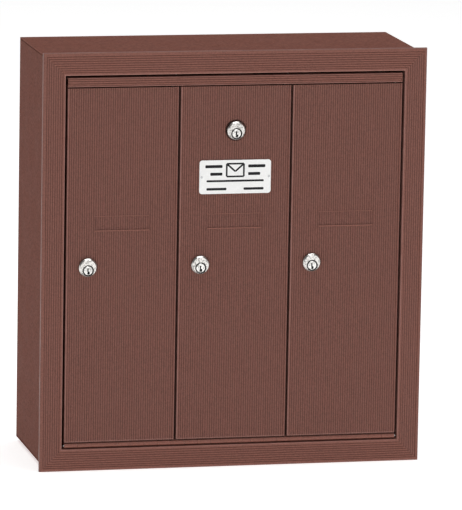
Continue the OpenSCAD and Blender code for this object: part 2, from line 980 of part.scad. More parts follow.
// A cam points straight up at rest and turns towards the door's free edge
hub_r = 7;
square_play = 0.1;
module lock_cam(x, z, cam_front, reach) {
    along_y(x, z - plug_drop, cam_front, cam_front + cam_t)
        difference() {
            union() {
                circle(r = hub_r);
                translate([-cam_w / 2, cam_w / 2 - reach])
                    square([cam_w, reach - cam_w / 2]);
                translate([0, cam_w / 2 - reach])
                    circle(r = cam_w / 2);
            }
            square(square_w + square_play, center = true);
        }
}

slot_w = 1;
slot_t = 1;
screw_end_gap = 0.5;                 // between the screw's end and the bottom of its hole
module cam_screw(x, z, cam_front) {
    screw_z = z - plug_drop;
    rear = cam_front + cam_t;
    end = rear + screw_head_t;
    difference() {
        union() {
            rod_y(x, screw_z, screw_r, rear - cam_t - screw_hole_t + screw_end_gap, rear);
            rod_y(x, screw_z, screw_head_r, rear, end);
        }
        block([x - screw_head_r, x + screw_head_r], [end - slot_t, end + over],
              [screw_z - slot_w / 2, screw_z + slot_w / 2]);
    }
}

tenant_front = panel_d - head_proud;
cam_gap = 0.4;                       // between a lock's barrel and its cam

module lock_body_n(n) {
    color(nickel)
        difference() {
            lock_body(lock_x(n), lock_z, tenant_front, panel_d, cam_d - cam_gap);
            clip_grooves(n);
        }
}

module lock_plug_n(n) {
    color(nickel)
        lock_plug(lock_x(n), lock_z, tenant_front, cam_d);
}

module lock_cam_n(n) {
    color(steel)
        lock_cam(lock_x(n), lock_z, cam_d, cam_reach);
}

module cam_screw_n(n) {
    color(steel)
        cam_screw(lock_x(n), lock_z, cam_d);
}

// Grooves across the barrel's flats that the spring clip slides into
groove_w = 14.4;                     // across the bottoms of the two grooves
module clip_grooves(n) {
    x = lock_x(n);
    r = barrel_lock_r + over;
    for (span_x = [[groove_w / 2, r], [-r, -groove_w / 2]])
        block([x + span_x[0], x + span_x[1]], [door_back, door_back + clip_t], [lock_z - r, lock_z + r]);
}

// U-shaped spring clip, pushed on from above; its prongs lie in the grooves
clip_w = 26;
clip_low = 11;
clip_high = 15;
clip_play = 0.05;
module lock_clip_n(n) {
    x = lock_x(n);
    color(steel)
        difference() {
            block([x - clip_w / 2, x + clip_w / 2], [door_back, door_back + clip_t],
                  [lock_z - clip_low, lock_z + clip_high]);
            block([x - groove_w / 2, x + groove_w / 2],
                  [door_back - over, door_back + clip_t + over], [lock_z - clip_low - over, lock_z]);
            intersection() {
                rod_y(x, lock_z, barrel_lock_r + clip_play, door_back - over, door_back + clip_t + over);
                block([x - groove_w / 2, x + groove_w / 2], [door_back - over, door_back + clip_t + over],
                      [lock_z - clip_high, lock_z + clip_high]);
            }
        }
}

module master_lock_body() {
    color(nickel)
        lock_body(0, master_z, panel_d - master_proud, bracket_d, master_cam_d - cam_gap);
}

lock_nut_r = 15;                     // over its corners
lock_nut_t = 3.2;
module master_lock_nut() {
    color(nickel)
        along_y(0, master_z, bracket_d + bracket_t, bracket_d + bracket_t + lock_nut_t)
            difference() {
                circle(r = lock_nut_r, $fn = 6);
                barrel_outline(thread_play);
            }
}

module master_lock_plug() {
    color(nickel)
        lock_plug(0, master_z, panel_d - master_proud, master_cam_d);
}

module master_lock_cam() {
    color(steel)
        translate([0, 0, master_z - plug_drop])
            rotate([0, 90, 0])
                translate([0, 0, plug_drop - master_z])
                    lock_cam(0, master_z, master_cam_d, master_reach);
}

module master_cam_screw() {
    color(steel)
        cam_screw(0, master_z, master_cam_d);
}

// ------------------------------------------------------------------ tenant doors

door_land = 3;                       // least width of the flat lands at a door's edges, together
door_reeds = floor((door_w - door_land) / reed_pitch);
return_x = [2.2, 4];                 // stiffening return, from the free edge
boss_bottom = stile_bottom + 0.5;
pin_in = 12;                         // length of a pin inside the boss
pin_out = 1.2;                       // how far it comes through the top rail
seat_t = 0.6;                        // how deep the label's seat is set back
ledge_h = [1.4, 0.8];                // flat ledges under and over the seat
ledge_t = 0.3;                       // how far they stand out of the reeds
head_seat_r = head_d / 2 + 0.8;      // flat seat cut through the reeds under a lock's head

// Face of a door: a plate with whole reeds between two flat lands, and bevelled front edges
module door_face(n) {
    x0 = door_left(n);
    x1 = x0 + door_w;
    first_reed = x0 + (door_w - door_reeds * reed_pitch) / 2;
    last_reed = first_reed + door_reeds * reed_pitch;
    upright(door_bottom, door_top)
        polygon(concat(
            [[x0, door_back], [x0, panel_d + edge_bevel], [x0 + edge_bevel, panel_d],
             [first_reed - reed_margin, panel_d]],
            [for (p = reeds(first_reed, door_reeds)) [p[0], panel_d + p[1]]],
            [[last_reed + reed_margin, panel_d],
             [x1 - edge_bevel, panel_d], [x1, panel_d + edge_bevel], [x1, door_back]]
        ));
}

// Reeded face, a stiffening return on the free edge and a pivot boss near the hinge edge
module door(n) {
    x0 = door_left(n);
    seat_x = [door_mid(n) - seat_w / 2, door_mid(n) + seat_w / 2];
    seat_z = [lock_z + seat_rise, lock_z + seat_rise + seat_h];
    difference() {
        union() {
            door_face(n);
            for (z = [[seat_z[0] - ledge_h[0], seat_z[0]], [seat_z[1], seat_z[1] + ledge_h[1]]])
                block(seat_x, [panel_d - ledge_t, door_back], z);
            upright(boss_bottom, door_top) {
                span([x0 + return_x[0], x0 + return_x[1]], [door_back - root, keeper_d - door_clear]);
                span([pivot_x(n) - pin_r, pivot_x(n) + pin_r], [door_back - root, pivot_d]);
                translate([pivot_x(n), pivot_d])
                    circle(r = boss_r);
            }
        }
        rod_z(pivot_x(n), pivot_d, pin_r, door_top - pin_in, door_top + over);
        rod_z(pivot_x(n), pivot_d, pin_r, boss_bottom - over, boss_bottom + pin_in);
        lock_hole(lock_x(n), lock_z, panel_d, door_back);
        rod_y(lock_x(n), lock_z, head_seat_r, panel_d - over, panel_d + reed_h);
        // The label's seat carries the same reeds, set back
        difference() {
            block(seat_x, [panel_d - over, panel_d + door_t / 2], seat_z);
            translate([0, seat_t, 0])
                door_face(n);
        }
    }
}

// The upper pin runs in the panel's top rail and the lower one in its bottom rail
module door_pins(n) {
    color(steel) {
        rod_z(pivot_x(n), pivot_d, pin_r, door_top - pin_in, bar_bottom + bar_wall + pin_out);
        rod_z(pivot_x(n), pivot_d, pin_r, hinge_z + barrel_r + door_clear, boss_bottom + pin_in);
    }
}

module door_n(n) {
    color(bronze)
        door(n);
}

// The middle door also has the clearance hole of the master lock and the plate's rivet holes
module door_2() {
    color(bronze)
        difference() {
            door(2);
            rod_y(0, master_z, head_d / 2 + master_clear, panel_d - over, door_back + over);
            plate_rivet_places()
                rod_y(0, 0, plate_rivet_r + rivet_play, panel_d - over, door_back + over);
        }
}

plate_t = 1.0;
plate_corner = 3.5;
plate_rivet_r = 0.9;
plate_rivet_head_r = 1.4;
plate_rivet_head_t = 0.5;
plate_rivet_span = plate_w - 5.2;

module plate_rivet_places() {
    for (s = [-1, 1])
        translate([door_mid(2) + s * plate_rivet_span / 2, 0, door_top - plate_drop])
            children();
}

module mail_plate() {
    inner = [plate_w - 2 * plate_corner, plate_h - 2 * plate_corner];
    color(enamel)
        difference() {
            along_y(door_mid(2), door_top - plate_drop, panel_d - plate_t, panel_d) {
                square([plate_w, inner[1]], center = true);
                square([inner[0], plate_h], center = true);
                for (sx = [-1, 1], sz = [-1, 1])
                    translate([sx * inner[0] / 2, sz * inner[1] / 2])
                        circle(r = plate_corner);
            }
            plate_rivet_places()
                rod_y(0, 0, plate_rivet_r + rivet_play, panel_d - plate_t - over, panel_d + over);
        }
}

module plate_rivets() {
    color(steel)
        plate_rivet_places() {
            rod_y(0, 0, plate_rivet_r, panel_d - plate_t, door_back + over);
            rod_y(0, 0, plate_rivet_head_r, panel_d - plate_t - plate_rivet_head_t, panel_d - plate_t);
        }
}

// ------------------------------------------------------------------ what is drawn

back_panel();
top_panel();
bottom_panel();
left_side_panel();
right_side_panel();
back_panel_rivets();
frame_rail_top();
frame_rail_bottom();
frame_rail_left();
frame_rail_right();
frame_corner_keys();
frame_studs();
frame_nuts();
divider_left();
divider_right();
hinge_fixed_leaf();
hinge_fixed_rivets();
master_strike();
strike_rivets();
panel_top_rail();
panel_bottom_rail();
panel_left_stile();
panel_right_stile();
panel_mullion_left();
panel_mullion_right();
panel_rivets();
hinge_moving_leaf();
hinge_pin();
hinge_moving_rivets();
master_lock_bracket();
bracket_rivets();
master_lock_body();
master_lock_nut();
master_lock_plug();
master_lock_cam();
master_cam_screw();
door_n(1);  // door_1
door_2();
door_n(3);  // door_3
door_pins(1);  // door_pins_1
door_pins(2);  // door_pins_2
door_pins(3);  // door_pins_3
lock_body_n(1);  // lock_body_1
lock_body_n(2);  // lock_body_2
lock_body_n(3);  // lock_body_3
lock_clip_n(1);  // lock_clip_1
lock_clip_n(2);  // lock_clip_2
lock_clip_n(3);  // lock_clip_3
lock_plug_n(1);  // lock_plug_1
lock_plug_n(2);  // lock_plug_2
lock_plug_n(3);  // lock_plug_3
lock_cam_n(1);  // lock_cam_1
lock_cam_n(2);  // lock_cam_2
lock_cam_n(3);  // lock_cam_3
cam_screw_n(1);  // cam_screw_1
cam_screw_n(2);  // cam_screw_2
cam_screw_n(3);  // cam_screw_3
mail_plate();
plate_rivets();
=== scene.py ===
"""Looks of a surface-mounted cluster mailbox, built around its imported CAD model."""

import math
from collections import namedtuple

import bmesh
import bpy
from mathutils import Matrix, Vector


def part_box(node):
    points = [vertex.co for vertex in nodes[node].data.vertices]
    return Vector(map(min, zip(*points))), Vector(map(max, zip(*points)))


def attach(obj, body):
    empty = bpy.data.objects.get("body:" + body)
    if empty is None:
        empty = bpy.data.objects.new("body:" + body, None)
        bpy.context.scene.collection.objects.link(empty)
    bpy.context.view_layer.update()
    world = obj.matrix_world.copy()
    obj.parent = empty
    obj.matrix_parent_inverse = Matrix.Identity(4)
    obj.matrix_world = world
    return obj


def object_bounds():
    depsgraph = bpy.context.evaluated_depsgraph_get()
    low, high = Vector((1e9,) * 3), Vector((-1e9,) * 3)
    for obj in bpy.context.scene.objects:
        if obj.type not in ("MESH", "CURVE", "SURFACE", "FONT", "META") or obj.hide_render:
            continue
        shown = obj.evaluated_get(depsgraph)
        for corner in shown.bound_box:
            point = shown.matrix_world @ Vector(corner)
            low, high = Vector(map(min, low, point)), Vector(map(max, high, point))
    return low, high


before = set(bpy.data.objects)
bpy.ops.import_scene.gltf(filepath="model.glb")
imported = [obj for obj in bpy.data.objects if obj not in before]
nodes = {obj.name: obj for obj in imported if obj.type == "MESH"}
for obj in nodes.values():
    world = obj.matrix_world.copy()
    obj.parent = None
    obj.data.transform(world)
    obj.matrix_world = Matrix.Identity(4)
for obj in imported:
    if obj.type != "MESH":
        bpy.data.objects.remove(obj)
cad_low, cad_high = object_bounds()
centre = (cad_low + cad_high) / 2

MM = 0.001
DOORS = (1, 2, 3)

# Linear red, green and blue.
WHITE = (1, 1, 1)
BRONZE = (0.176, 0.0690, 0.0515)
NICKEL = (0.74, 0.72, 0.69)
BRIGHT_NICKEL = (0.88, 0.87, 0.84)
ZINC = (0.46, 0.47, 0.48)
YELLOWED_ZINC = (0.50, 0.46, 0.34)
OILED_STEEL = (0.055, 0.045, 0.040)
SHEET_ALUMINIUM = (0.62, 0.63, 0.64)
RIVET_ALUMINIUM = (0.55, 0.56, 0.57)
PLATE_WHITE = (0.86, 0.86, 0.85)
INK = (0.012, 0.012, 0.014)
# Near black, for painted shade in the locks' recesses.
RECESS_PAINTED_SHADE = (0.006, 0.005, 0.005)
DUST_GREY = 0.2

# The CAD model's reeds: the pitch, the number across a frame rail, the distance from the opening to the
# first valley of a rail, and the height of the bar above the doors.
REED = 2.8 * MM
FRAME_REEDS = 7
FRAME_LAND = 3.6 * MM
BAR_HEIGHT = 11 * MM

# Edges sharper than BEVEL_ANGLE are rounded, and edges sharper than SMOOTH_ANGLE aren't shaded smooth.
WELD_DISTANCE = 0.002 * MM
FLAT_ANGLE = math.radians(0.3)
BEVEL_ANGLE = math.radians(56)
SMOOTH_ANGLE = math.radians(38)


# ---------------------------------------------------------------- materials


class Shader:
    """A new material with its Principled node, and short calls that add and join nodes."""

    def __init__(self, name):
        self.material = bpy.data.materials.new(name)
        self.material.use_nodes = True
        self.tree = self.material.node_tree
        self.bsdf = self.tree.nodes["Principled BSDF"]
        self.place = self.add("ShaderNodeTexCoord").outputs["Object"]

    def add(self, kind, **settings):
        node = self.tree.nodes.new(kind)
        for key, value in settings.items():
            setattr(node, key, value)
        return node

    def put(self, socket, value):
        """Joins value to the socket if it's an output, and sets it there if it's a number or a colour."""
        if isinstance(value, bpy.types.NodeSocket):
            self.tree.links.new(value, socket)
        elif isinstance(value, (tuple, list)) and len(value) == 3 and socket.type == "RGBA":
            socket.default_value = (*value, 1)
        else:
            socket.default_value = value

    def set(self, **values):
        """Sets sockets of the Principled node, with _ in place of a space in each name."""
        for key, value in values.items():
            self.put(self.bsdf.inputs[key.replace("_", " ")], value)

    def stretched(self, x, y, z):
        """Object coordinates scaled by x, y and z."""
        node = self.add("ShaderNodeMapping")
        self.put(node.inputs["Vector"], self.place)
        node.inputs["Scale"].default_value = (x, y, z)
        return node.outputs["Vector"]

    def noise(self, scale, detail=2.0, rough=0.5, where=None):
        """Noise with about scale patches to a metre. Most of it lies between 0.3 and 0.7."""
        node = self.add("ShaderNodeTexNoise")
        self.put(node.inputs["Vector"], where or self.place)
        node.inputs["Scale"].default_value = scale
        node.inputs["Detail"].default_value = detail
        node.inputs["Roughness"].default_value = rough
        return node.outputs["Fac"]

    def math(self, what, a, b=0.0, c=0.0):
        node = self.add("ShaderNodeMath", operation=what)
        for socket, value in zip(node.inputs, (a, b, c)):
            self.put(socket, value)
        return node.outputs[0]

    def times(self, a, b):
        return self.math("MULTIPLY", a, b)

    def spread(self, value, low, high, to_low=0.0, to_high=1.0):
        """Takes low..high of a value to to_low..to_high, and holds it there beyond both ends."""
        node = self.add("ShaderNodeMapRange", interpolation_type="SMOOTHSTEP")
        for socket, x in zip(node.inputs, (value, low, high, to_low, to_high)):
            self.put(socket, x)
        return node.outputs[0]

    def mix(self, share, a, b):
        """Colour a, with a share of colour b over it."""
        node = self.add("ShaderNodeMix", data_type="RGBA")
        factor, first, second = node.inputs["Factor"], node.inputs[6], node.inputs[7]
        for socket, value in ((factor, share), (first, a), (second, b)):
            self.put(socket, value)
        return node.outputs[2]

    def bump(self, height, distance, strength=1.0, under=None):
        node = self.add("ShaderNodeBump")
        self.put(node.inputs["Height"], height)
        node.inputs["Distance"].default_value = distance
        node.inputs["Strength"].default_value = strength
        if under is not None:
            self.put(node.inputs["Normal"], under)
        return node.outputs["Normal"]

    def axis(self, name):
        node = self.add("ShaderNodeSeparateXYZ")
        self.put(node.inputs[0], self.place)
        return node.outputs[name]

    def across(self, name):
        """A coordinate, or its size on both sides of the middle for "absX" and "absZ"."""
        value = self.axis(name[-1])
        return self.math("ABSOLUTE", value) if name.startswith("abs") else value

    def from_axis(self, x, z):
        """Distance from a line along Y through (x, z)."""
        dx = self.math("SUBTRACT", self.axis("X"), x)
        dz = self.math("SUBTRACT", self.axis("Z"), z)
        return self.math("SQRT", self.math("ADD", self.times(dx, dx), self.times(dz, dz)))

    def turned(self, radius):
        """Coordinates that change quickly with the radius from an axis, and slowly along it."""
        node = self.add("ShaderNodeCombineXYZ")
        self.put(node.inputs[0], self.times(radius, 4200))
        self.put(node.inputs[1], self.times(self.axis("Y"), 90))
        return node.outputs[0]


def tint(colour, by):
    return tuple(c * by for c in colour)


# A row of reeds: the axis across it, its first and last valley, and the depth in Y of its crests.
Reeds = namedtuple("Reeds", "axis first last crest")


def row_of_reeds(axis, low, high, land, crest):
    """A row of whole reeds between two edges, with that much flat land left at least."""
    count = math.floor((high - low - land) / REED + 1e-6)
    first = (low + high - count * REED) / 2
    return Reeds(axis, first, first + count * REED, crest)


def in_grooves(s, reeds):
    """1 at the bottom of each groove between reeds, 0 on the crests and on flat faces."""
    margin = 0.2 * MM
    along = s.across(reeds.axis)
    turns = s.times(s.math("SUBTRACT", along, reeds.first), 2 * math.pi / REED)
    wave = s.spread(s.math("COSINE", turns), 0.0, 1.0)
    inside = s.times(s.math("GREATER_THAN", along, reeds.first - margin),
                     s.math("LESS_THAN", along, reeds.last + margin))
    sunk = s.spread(s.axis("Y"), reeds.crest + 0.1 * MM, reeds.crest + 0.3 * MM)
    return s.times(s.times(wave, inside), sunk)


def near(s, lines):
    """1 on each line, given as (axis, place, half width), and 0 away from them all."""
    most = None
    for axis, place, width in lines:
        off = s.math("ABSOLUTE", s.math("SUBTRACT", s.across(axis), place))
        this = s.spread(off, width, 1.6 * width, 1.0, 0.0)
        most = this if most is None else s.math("MAXIMUM", most, this)
    return most


def powder_coat(name, colour, roughness=0.42, specular=0.24, dust=0.5, mottle=(430, 0.19),
                reeds=None, highlight_lines=None):
    """Fine-textured polyester powder coat: a grain, a soft orange peel and slow changes of tone.

    mottle is the scale and contrast of the grain's patches. Painted shade lies in the grooves between
    reeds, what stands proud of their crests is painted paler as a highlight, and painted highlights lie
    along the edge lines given last."""
    s = Shader(name)
    scale, contrast = mottle
    patches = s.spread(s.noise(scale, 3, 0.65), 0.34, 0.66)
    body = s.mix(patches, tint(colour, 1 - contrast), tint(colour, 1 + contrast))
    tone = s.spread(s.noise(9, 2), 0.3, 0.7)
    body = s.mix(s.times(tone, 0.25), body, tint(colour, 1.06))
    fleck = s.spread(s.noise(700, 2, 0.6), 0.38, 0.62)
    body = s.mix(s.times(fleck, 0.42), body, tint(colour, 1.5))
    pit = s.spread(s.noise(1300, 2, 0.6), 0.53, 0.66)
    body = s.mix(s.times(pit, 0.45), body, tint(colour, 0.5))
    dusty = s.spread(s.noise(14, 4, 0.6), 0.55, 0.8)
    body = s.mix(s.times(dusty, 0.08 * dust), body, tuple(0.8 * c + 0.2 * DUST_GREY for c in colour))
    if reeds:
        # Painted shade: the grooves between reeds are coloured darker.
        body = s.mix(s.times(in_grooves(s, reeds), 0.47), body, tint(colour, 0.30))
        # Painted highlight: what stands proud of the reed crests is coloured paler.
        proud = s.spread(s.axis("Y"), reeds.crest - 0.05 * MM, reeds.crest - 0.2 * MM)
        body = s.mix(s.times(proud, 0.45), body, tint(colour, 1.6))
    # Painted highlights: the coat is coloured lighter, in patches, along the given edge lines.
    if highlight_lines:
        patchy = s.spread(s.noise(60, 3, 0.6), 0.30, 0.55, 0.50, 0.90)
        highlight_colour = tuple(1.45 * c + 0.045 for c in colour)
        body = s.mix(s.times(near(s, highlight_lines), patchy), body, highlight_colour)
    rough = s.spread(s.noise(45, 4, 0.6), 0.25, 0.75, roughness - 0.05, roughness + 0.07)
    peel = s.bump(s.noise(330, 1), 0.06 * MM, 0.5)
    grain = s.bump(s.noise(1700, 3, 0.65), 0.05 * MM, 0.8, peel)
    s.set(Base_Color=body, Roughness=rough, Normal=grain, Specular_IOR_Level=specular)
    return s.material


def nickel(name, colour=NICKEL):
    """Satin nickel plate, tarnished in patches."""
    s = Shader(name)
    stain = s.noise(420, 4, 0.7)
    body = s.mix(s.spread(stain, 0.46, 0.62), colour, tint(colour, 0.42))
    fine = s.bump(s.noise(700, 3), 0.03 * MM, 0.6)
    s.set(Base_Color=body, Metallic=1.0, Roughness=s.spread(stain, 0.3, 0.7, 0.16, 0.32),
          Normal=s.bump(s.noise(900, 2), 0.04 * MM, 0.7, fine))
    return s.material


def turned_nickel(name, axis, front, colour=NICKEL, dish=None):
    """Satin nickel with turned marks round the axis, and near-black painted shade in the recess behind the
    front: all of it, or only what lies within the dish's radius."""
    s = Shader(name)
    stain = s.noise(420, 4, 0.7)
    radius = s.from_axis(*axis)
    deep = s.spread(s.axis("Y"), front + 0.15 * MM, front + 0.5 * MM)
    if dish:
        deep = s.times(deep, s.spread(radius, dish + 0.15 * MM, dish - 0.05 * MM))
    body = s.mix(s.spread(stain, 0.46, 0.62), colour, tint(colour, 0.42))
    # Painted shade: the recess behind the front is coloured near black and made less metallic.
    body = s.mix(deep, body, RECESS_PAINTED_SHADE)
    rough = s.math("ADD", s.spread(stain, 0.3, 0.7, 0.16, 0.32), s.times(deep, 0.5))
    marks = s.noise(1, 2, where=s.turned(radius))
    fine = s.bump(s.noise(700, 3), 0.03 * MM, 0.6)
    s.set(Base_Color=body, Metallic=s.math("SUBTRACT", 1.0, deep), Roughness=rough,
          Normal=s.bump(marks, 0.04 * MM, 0.7, fine))
    return s.material


def zinc(name, colour=ZINC):
    """Zinc-plated steel: crystal-sized patches, a faint yellow cast in places and dull streaks."""
    s = Shader(name)
    cells = s.add("ShaderNodeTexVoronoi", feature="F1")
    s.put(cells.inputs["Vector"], s.place)
    cells.inputs["Scale"].default_value = 260
    body = s.mix(s.spread(cells.outputs["Distance"], 0.1, 0.8), tint(colour, 1.12), tint(colour, 0.82))
    cast = s.spread(s.noise(40, 3), 0.45, 0.7)
    body = s.mix(s.times(cast, 0.35), body, YELLOWED_ZINC)
    rough = s.spread(s.noise(160, 4, 0.65), 0.3, 0.7, 0.30, 0.50)
    s.set(Base_Color=body, Roughness=rough, Metallic=0.95, Normal=s.bump(s.noise(600, 3), 0.04 * MM, 0.7))
    return s.material


def mill_aluminium(name, colour=SHEET_ALUMINIUM):
    """Bare rolled sheet: long rolling lines and handling smudges."""
    s = Shader(name)
    lines = s.noise(500, 3, 0.6, s.stretched(1, 0.03, 1))
    body = s.mix(s.spread(lines, 0.35, 0.65), tint(colour, 0.92), tint(colour, 1.05))
    smudge = s.spread(s.noise(22, 5, 0.6), 0.5, 0.75)
    body = s.mix(s.times(smudge, 0.25), body, tint(colour, 0.72))
    rough = s.math("ADD", s.spread(lines, 0.3, 0.7, 0.30, 0.42), s.times(smudge, 0.10))
    s.set(Base_Color=body, Roughness=rough, Metallic=0.9, Normal=s.bump(lines, 0.03 * MM, 0.6))
    return s.material


def enamel(name, colour, roughness=0.16, specular=0.5):
    """Stoved enamel with orange peel, faint yellowing and fine dirt."""
    s = Shader(name)
    body = s.mix(s.spread(s.noise(30, 3), 0.35, 0.7), colour, tint(colour, 0.965))
    dirt = s.spread(s.noise(900, 4, 0.7), 0.62, 0.75)
    body = s.mix(s.times(dirt, 0.12), body, tint(colour, 0.6))
    rough = s.spread(s.noise(240, 3), 0.3, 0.7, roughness, roughness + 0.14)
    peel = s.bump(s.noise(420, 2), 0.04 * MM, 0.6)
    s.set(Base_Color=body, Roughness=rough, Normal=peel, Specular_IOR_Level=specular)
    return s.material


# ---------------------------------------------------------------- CAD nodes


def smoothing_group(angle):
    """Geometry nodes that shade faces smooth, except across edges sharper than the angle."""
    group = bpy.data.node_groups.new(f"smooth_under_{round(math.degrees(angle))}", "GeometryNodeTree")
    group.interface.new_socket("Geometry", in_out="INPUT", socket_type="NodeSocketGeometry")
    group.interface.new_socket("Geometry", in_out="OUTPUT", socket_type="NodeSocketGeometry")
    start, end = group.nodes.new("NodeGroupInput"), group.nodes.new("NodeGroupOutput")
    faces = group.nodes.new("GeometryNodeSetShadeSmooth")
    faces.domain = "FACE"
    faces.inputs["Shade Smooth"].default_value = True
    edges = group.nodes.new("GeometryNodeSetShadeSmooth")
    edges.domain = "EDGE"
    edges.inputs["Shade Smooth"].default_value = False
    angles = group.nodes.new("GeometryNodeInputMeshEdgeAngle")
    sharp = group.nodes.new("FunctionNodeCompare")
    sharp.operation = "GREATER_THAN"
    sharp.inputs["B"].default_value = angle
    join = group.links.new
    join(start.outputs[0], faces.inputs["Geometry"])
    join(faces.outputs[0], edges.inputs["Geometry"])
    join(angles.outputs["Unsigned Angle"], sharp.inputs["A"])
    join(sharp.outputs[0], edges.inputs["Selection"])
    join(edges.outputs[0], end.inputs[0])
    return group


SMOOTH = smoothing_group(SMOOTH_ANGLE)


def finish_edges(piece, bevel, steps):
    """Welds the faces, rounds the sharp edges by bevel metres and shades the rest smooth."""
    weld = piece.modifiers.new("weld", "WELD")
    weld.merge_threshold = WELD_DISTANCE
    flat = piece.modifiers.new("flat faces", "DECIMATE")
    flat.decimate_type = "DISSOLVE"
    flat.angle_limit = FLAT_ANGLE
    edge = piece.modifiers.new("edges", "BEVEL")
    edge.width = bevel
    edge.segments = steps
    edge.limit_method = "ANGLE"
    edge.angle_limit = BEVEL_ANGLE
    edge.miter_outer = "MITER_ARC"
    shade = piece.modifiers.new("smooth", "NODES")
    shade.node_group = SMOOTH
    normals = piece.modifiers.new("normals", "WEIGHTED_NORMAL")
    normals.keep_sharp = True


dressed = set()


def dress(names, material, bevel, steps=2):
    """Gives CAD nodes a material and edges rounded by bevel metres."""
    for name in names:
        piece = nodes[name]
        piece.data.materials.clear()
        piece.data.materials.append(material)
        for face in piece.data.polygons:
            face.material_index = 0
        finish_edges(piece, bevel, steps)
        dressed.add(name)


def each(name):
    """The three names of a piece that every door has."""
    return [f"{name}_{n}" for n in DOORS]


def middle(low, high):
    """The line along Y through the middle of a box."""
    return (low.x + high.x) / 2, (low.z + high.z) / 2


def dress_housing():
    """The housing has a duller coat with a coarser grain; the side panels take a darker copy of it, as
    painted shade.
    """
    # The side panels' tone of 0.89 against 1.06 is painted shade.
    for name, tone, pieces in (
        ("bronze_housing", 1.06, ["back_panel", "top_panel", "bottom_panel"]),
        ("bronze_housing_sides_painted_shade", 0.89, ["left_side_panel", "right_side_panel"]),
    ):
        coat = powder_coat(name, tint(BRONZE, tone), roughness=0.68, specular=0.02, dust=0.3,
                           mottle=(300, 0.30))
        dress(pieces, coat, bevel=0.45 * MM, steps=3)


def dress_frame():
    """The frame's rails, reeded along their length, with a painted highlight along the opening."""
    left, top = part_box("frame_rail_left"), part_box("frame_rail_top")
    crest = left[0].y
    # The top and bottom rails take a copy of the same coat made 1.08 times lighter: painted light.
    for name, axis, opening, tone, pieces in (
        ("bronze_frame_sides", "absX", -left[1].x, 1.0, ["frame_rail_left", "frame_rail_right"]),
        ("bronze_frame_ends_painted_light", "absZ", top[0].z, 1.08, ["frame_rail_top", "frame_rail_bottom"]),
    ):
        first = opening + FRAME_LAND
        reeds = Reeds(axis, first, first + FRAME_REEDS * REED, crest)
        coat = powder_coat(name, tint(BRONZE, tone), reeds=reeds, highlight_lines=[(axis, opening, 0.9 * MM)])
        dress(pieces, coat, bevel=0.15 * MM)


def dress_front():
    """The doors, each with its own coat, and the bar above them: reeded, with painted highlights along the
    edges.
    """
    bar_low, bar_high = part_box("panel_top_rail")
    crest = bar_low.y
    for name in each("door"):
        low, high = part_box(name)
        reeds = row_of_reeds("X", low.x, high.x, 3 * MM, crest)
        highlight_lines = [("X", low.x, 1.0 * MM), ("X", high.x, 0.5 * MM), ("Z", low.z, 0.8 * MM)]
        coat = powder_coat(f"bronze_{name}", tint(BRONZE, 0.945), reeds=reeds, highlight_lines=highlight_lines)
        dress([name], coat, bevel=0.18 * MM)
    top, bottom = bar_high.z, bar_high.z - BAR_HEIGHT
    reeds = row_of_reeds("Z", bottom, top, 2 * MM, crest)
    highlight_lines = [("Z", top, 0.8 * MM), ("Z", bottom, 0.8 * MM)]
    coat = powder_coat("bronze_bar", tint(BRONZE, 1.06), reeds=reeds, highlight_lines=highlight_lines)
    dress(["panel_top_rail"], coat, bevel=0.18 * MM)


def dress_inside():
    """The master panel's frame and hinge, the dividers, and the steel and aluminium small parts."""
    # The inner frame, strike and bracket take a much darker copy of the bronze: painted shade for parts
    # seen through the gaps.
    coat_inner = powder_coat("bronze_inner", tint(BRONZE, 0.55), roughness=0.55, dust=1.2)
    coat_hinge = powder_coat("bronze_hinge", tint(BRONZE, 1.15), roughness=0.38)
    steel = zinc("zinc_steel")
    oiled = zinc("oiled_steel", OILED_STEEL)
    sheet = mill_aluminium("mill_aluminium")
    rivet = mill_aluminium("rivet_aluminium", RIVET_ALUMINIUM)
    dress(["hinge_fixed_leaf", "hinge_moving_leaf"], coat_hinge, bevel=0.15 * MM)
    dress(["panel_left_stile", "panel_right_stile", "panel_mullion_left", "panel_mullion_right",
           "panel_bottom_rail"], coat_inner, bevel=0.25 * MM)
    dress(["master_strike", "master_lock_bracket"], coat_inner, bevel=0.20 * MM)
    dress(["divider_left", "divider_right"], sheet, bevel=0.30 * MM)
    dress(["frame_corner_keys", "frame_studs", "frame_nuts", "hinge_pin", "master_lock_cam",
           "master_cam_screw", *each("lock_clip"), *each("lock_cam"), *each("cam_screw")],
          steel, bevel=0.20 * MM)
    dress(each("door_pins"), oiled, bevel=0.20 * MM)
    dress(["back_panel_rivets", "hinge_fixed_rivets", "strike_rivets", "panel_rivets",
           "hinge_moving_rivets", "bracket_rivets"], rivet, bevel=0.35 * MM, steps=3)
    dress(["plate_rivets"], rivet, bevel=0.18 * MM, steps=3)


def dress_locks():
    """The four locks. Each has its own marks, round the axis of its own plug."""
    pairs = [*zip(each("lock_body"), each("lock_plug")), ("master_lock_body", "master_lock_plug")]
    for body, plug in pairs:
        low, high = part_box(plug)
        axis = middle(low, high)
        dish = (high.z - low.z) / 2 + 1.3 * MM
        plated = turned_nickel(f"{body}_nickel", axis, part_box(body)[0].y, dish=dish)
        dress([body], plated, bevel=0.22 * MM, steps=3)
        plated = turned_nickel(f"{plug}_nickel", axis, low.y + 0.1 * MM, BRIGHT_NICKEL)
        dress([plug], plated, bevel=0.12 * MM, steps=3)
    dress(["master_lock_nut"], nickel("nut_nickel"), bevel=0.4 * MM, steps=3)


dress_frame()
dress_housing()
dress_front()
dress_inside()
dress_locks()
dress(["mail_plate"], enamel("plate_enamel", PLATE_WHITE), bevel=0.25 * MM, steps=3)

left_over = sorted(set(nodes) - dressed)
if left_over:
    raise RuntimeError(f"no material given to {left_over}")


# ---------------------------------------------------------------- plate artwork


